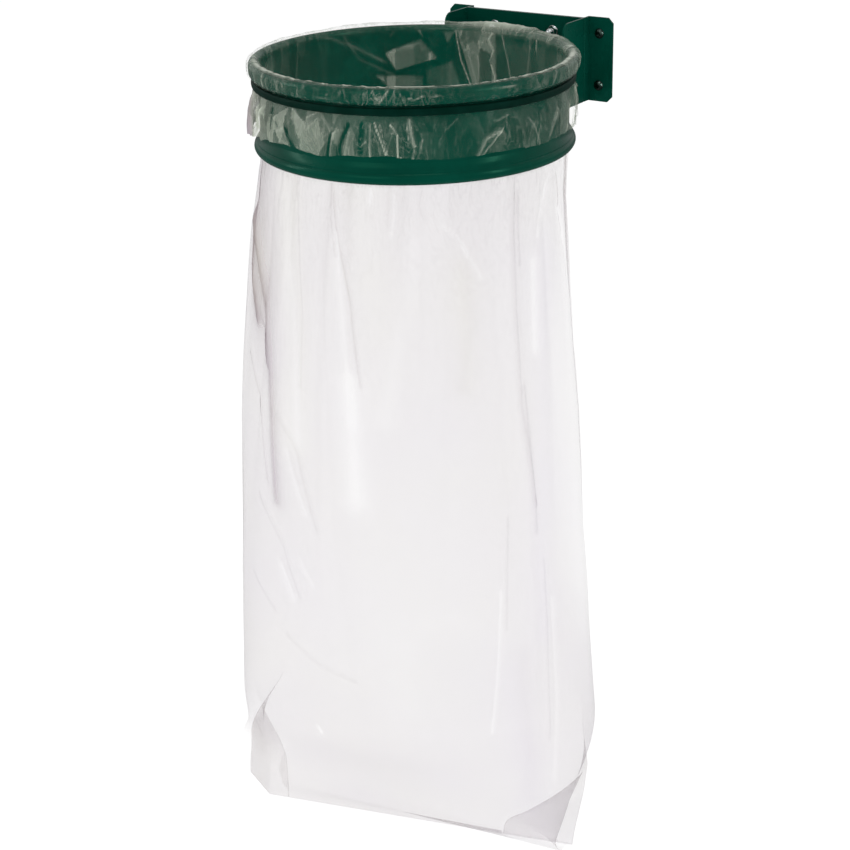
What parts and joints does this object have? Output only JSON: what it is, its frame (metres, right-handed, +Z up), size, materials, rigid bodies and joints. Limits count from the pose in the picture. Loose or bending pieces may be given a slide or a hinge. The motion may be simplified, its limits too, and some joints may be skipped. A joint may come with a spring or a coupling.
{
  "type": "wall-mounted refuse bag holder",
  "caption": "Wall-mounted steel hoop on a bolted bracket, holding an open translucent refuse bag folded over its rim under a rubber strap.",
  "frame": {"origin": "centre of the four wall fixings, on the wall's face behind the plate", "axes": "+Y into the wall, along the wall screws; +Z up, the way the bag hangs down along -Z; +X to the right for someone facing the wall; the collar stands out towards -Y"},
  "size_m": [0.4995, 0.5567, 1.048],
  "materials": {
    "green_coat": "gloss dark green powder coat on steel",
    "zinc_screw": "bright zinc plate",
    "stainless": "bright stainless steel",
    "rubber": "satin black rubber",
    "film": "thin translucent polyethylene film"
  },
  "bodies": {
    "holder": {"collar": "green_coat", "wall_plate": "green_coat", "bracket": "green_coat", "toe_weld_left": "green_coat", "toe_weld_right": "green_coat", "wall_screw_upper_left": "zinc_screw", "bracket_bolt_upper_left": "zinc_screw", "bolt_washer_upper_left": "stainless", "cap_nut_upper_left": "stainless", "wall_screw_upper_right": "zinc_screw", "bracket_bolt_upper_right": "zinc_screw", "bolt_washer_upper_right": "stainless", "cap_nut_upper_right": "stainless", "wall_screw_lower_left": "zinc_screw", "bracket_bolt_lower_left": "zinc_screw", "bolt_washer_lower_left": "stainless", "cap_nut_lower_left": "stainless", "wall_screw_lower_right": "zinc_screw", "bracket_bolt_lower_right": "zinc_screw", "bolt_washer_lower_right": "stainless", "cap_nut_lower_right": "stainless", "bag": "film"},
    "strap": {"strap": "rubber"}
  },
  "joints": [
    {"name": "strap_lift", "type": "slide", "parent": "holder", "child": "strap", "axis": [0, 0, 1], "range_m": [0, 0.045], "deforming": ["strap"]}
  ]
}
